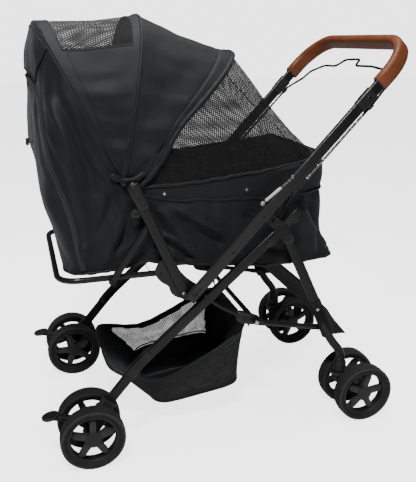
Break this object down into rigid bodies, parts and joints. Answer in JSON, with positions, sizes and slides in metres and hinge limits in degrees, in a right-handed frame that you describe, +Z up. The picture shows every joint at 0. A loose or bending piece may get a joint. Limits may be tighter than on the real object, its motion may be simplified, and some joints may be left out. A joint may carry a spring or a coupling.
{
  "type": "pet stroller",
  "caption": "Folding pet stroller with a fabric cabin, hood with mesh front, under-basket, reversible leather-gripped handle, twin rear wheels and swivel casters.",
  "frame": {"origin": "on the ground under the middle of the whole object", "axes": "+X forward from the rear wheels to the casters, +Y to the left, +Z up"},
  "size_m": [0.9132, 0.5796, 1.0179],
  "materials": {
    "black_steel": "satin powder coat",
    "black_plastic": "fine moulded texture",
    "tyre_rubber": "matt, fine diamond tread",
    "bright_steel": "zinc plated",
    "black_fabric": "plain woven polyester",
    "grey_mesh": "open knitted mesh",
    "brown_leather": "smooth, fine grain"
  },
  "bodies": {
    "chassis": {"rear_leg_right": "black_steel", "axle_housing_right": "black_plastic", "rear_axle_right": "bright_steel", "canopy_arm_right": "black_steel", "pivot_plate_right": "black_steel", "lock_plate_right": "black_steel", "strut_right": "black_steel", "rear_leg_left": "black_steel", "axle_housing_left": "black_plastic", "rear_axle_left": "bright_steel", "canopy_arm_left": "black_steel", "pivot_plate_left": "black_steel", "lock_plate_left": "black_steel", "strut_left": "black_steel", "rear_loop": "black_steel", "cabin_tub": "black_fabric", "floor_board": "black_plastic", "basket": "black_fabric", "rear_bow": "black_steel", "rear_wall": "black_fabric", "hood_rear_panel": "black_fabric"},
    "rear_wheel_right_inner": {"rear_wheel_right_inner_tyre": "tyre_rubber", "rear_wheel_right_inner_rim": "black_plastic"},
    "rear_wheel_right_outer": {"rear_wheel_right_outer_tyre": "tyre_rubber", "rear_wheel_right_outer_rim": "black_plastic"},
    "pedal_right": {"brake_pedal_right": "black_plastic"},
    "rear_wheel_left_inner": {"rear_wheel_left_inner_tyre": "tyre_rubber", "rear_wheel_left_inner_rim": "black_plastic"},
    "rear_wheel_left_outer": {"rear_wheel_left_outer_tyre": "tyre_rubber", "rear_wheel_left_outer_rim": "black_plastic"},
    "pedal_left": {"brake_pedal_left": "black_plastic"},
    "handle": {"handle_tube": "black_steel", "handle_grip": "brown_leather", "rod_guide_right": "black_plastic", "rod_guide_left": "black_plastic"},
    "release": {"release_wire": "bright_steel"},
    "front_legs": {"front_leg_right": "black_steel", "front_leg_left": "black_steel", "caster_collar_right": "black_plastic", "caster_collar_left": "black_plastic", "footrest": "black_plastic"},
    "upper_brace": {"upper_brace": "black_steel"},
    "lower_brace": {"lower_brace_right": "black_steel", "lower_brace_left": "black_steel"},
    "caster_right": {"caster_fork_right": "black_plastic", "caster_axle_right": "bright_steel"},
    "front_wheel_right_inner": {"front_wheel_right_inner_tyre": "tyre_rubber", "front_wheel_right_inner_rim": "black_plastic"},
    "front_wheel_right_outer": {"front_wheel_right_outer_tyre": "tyre_rubber", "front_wheel_right_outer_rim": "black_plastic"},
    "caster_left": {"caster_fork_left": "black_plastic", "caster_axle_left": "bright_steel"},
    "front_wheel_left_inner": {"front_wheel_left_inner_tyre": "tyre_rubber", "front_wheel_left_inner_rim": "black_plastic"},
    "front_wheel_left_outer": {"front_wheel_left_outer_tyre": "tyre_rubber", "front_wheel_left_outer_rim": "black_plastic"},
    "middle_bow": {"middle_bow": "black_steel", "hood_front_panel": "black_fabric"},
    "front_bow": {"front_bow": "black_steel", "mesh_front": "grey_mesh"}
  },
  "joints": [
    {"name": "rear_wheel_right_inner_spin", "type": "hinge", "parent": "chassis", "child": "rear_wheel_right_inner", "pos_m": [-0.3451, -0.18925, 0.077], "axis": [0, 1, 0], "continuous": true},
    {"name": "rear_wheel_right_outer_spin", "type": "hinge", "parent": "chassis", "child": "rear_wheel_right_outer", "pos_m": [-0.3451, -0.27375, 0.077], "axis": [0, 1, 0], "continuous": true},
    {"name": "pedal_right_hinge", "type": "hinge", "parent": "chassis", "child": "pedal_right", "pos_m": [-0.3671, -0.2315, 0.1], "axis": [0, 1, 0], "range_deg": [-14, 0], "stiffness_Nm_per_rad": 0.6},
    {"name": "rear_wheel_left_inner_spin", "type": "hinge", "parent": "chassis", "child": "rear_wheel_left_inner", "pos_m": [-0.3451, 0.18925, 0.077], "axis": [0, 1, 0], "continuous": true},
    {"name": "rear_wheel_left_outer_spin", "type": "hinge", "parent": "chassis", "child": "rear_wheel_left_outer", "pos_m": [-0.3451, 0.27375, 0.077], "axis": [0, 1, 0], "continuous": true},
    {"name": "pedal_left_hinge", "type": "hinge", "parent": "chassis", "child": "pedal_left", "pos_m": [-0.3671, 0.2315, 0.1], "axis": [0, 1, 0], "range_deg": [-14, 0], "stiffness_Nm_per_rad": 0.6},
    {"name": "handle_reverse", "type": "hinge", "parent": "chassis", "child": "handle", "pos_m": [-0.0901, 0, 0.397], "axis": [0, 1, 0], "range_deg": [-67, 0]},
    {"name": "release_slide", "type": "slide", "parent": "handle", "child": "release", "axis": [0.6896, 0, 0.7242], "range_m": [0, 0.012], "stiffness_N_per_m": 400},
    {"name": "front_leg_fold", "type": "hinge", "parent": "chassis", "child": "front_legs", "pos_m": [0.1469, 0, 0.506], "axis": [0, 1, 0], "range_deg": [0, 55], "deforming": ["basket"]},
    {"name": "upper_brace_fold", "type": "hinge", "parent": "chassis", "child": "upper_brace", "pos_m": [-0.0531, 0, 0.372], "axis": [0, 1, 0], "range_deg": [0, 113]},
    {"name": "lower_brace_fold", "type": "hinge", "parent": "front_legs", "child": "lower_brace", "pos_m": [0.2579, 0, 0.25], "axis": [0, 1, 0], "range_deg": [-63, 0]},
    {"name": "caster_right_swivel", "type": "hinge", "parent": "front_legs", "child": "caster_right", "pos_m": [0.3129, -0.22925, 0.077], "axis": [0, 0, 1], "continuous": true},
    {"name": "front_wheel_right_inner_spin", "type": "hinge", "parent": "caster_right", "child": "front_wheel_right_inner", "pos_m": [0.3599, -0.18275, 0.077], "axis": [0, 1, 0], "continuous": true},
    {"name": "front_wheel_right_outer_spin", "type": "hinge", "parent": "caster_right", "child": "front_wheel_right_outer", "pos_m": [0.3599, -0.27575, 0.077], "axis": [0, 1, 0], "continuous": true},
    {"name": "caster_left_swivel", "type": "hinge", "parent": "front_legs", "child": "caster_left", "pos_m": [0.3129, 0.22925, 0.077], "axis": [0, 0, 1], "continuous": true},
    {"name": "front_wheel_left_inner_spin", "type": "hinge", "parent": "caster_left", "child": "front_wheel_left_inner", "pos_m": [0.3599, 0.18275, 0.077], "axis": [0, 1, 0], "continuous": true},
    {"name": "front_wheel_left_outer_spin", "type": "hinge", "parent": "caster_left", "child": "front_wheel_left_outer", "pos_m": [0.3599, 0.27575, 0.077], "axis": [0, 1, 0], "continuous": true},
    {"name": "middle_bow_fold", "type": "hinge", "parent": "chassis", "child": "middle_bow", "pos_m": [-0.2371, 0, 0.664], "axis": [0, 1, 0], "range_deg": [-30, 0], "deforming": ["hood_rear_panel", "hood_front_panel", "mesh_front"]},
    {"name": "front_bow_fold", "type": "hinge", "parent": "middle_bow", "child": "front_bow", "pos_m": [-0.2371, 0, 0.664], "axis": [0, 1, 0], "range_deg": [-30, 0]}
  ],
  "couplings": [
    {"joint": "upper_brace_fold", "follows": "front_leg_fold", "ratio": 2.0494},
    {"joint": "lower_brace_fold", "follows": "front_leg_fold", "ratio": -1.1357},
    {"joint": "front_bow_fold", "follows": "middle_bow_fold", "ratio": 1}
  ]
}
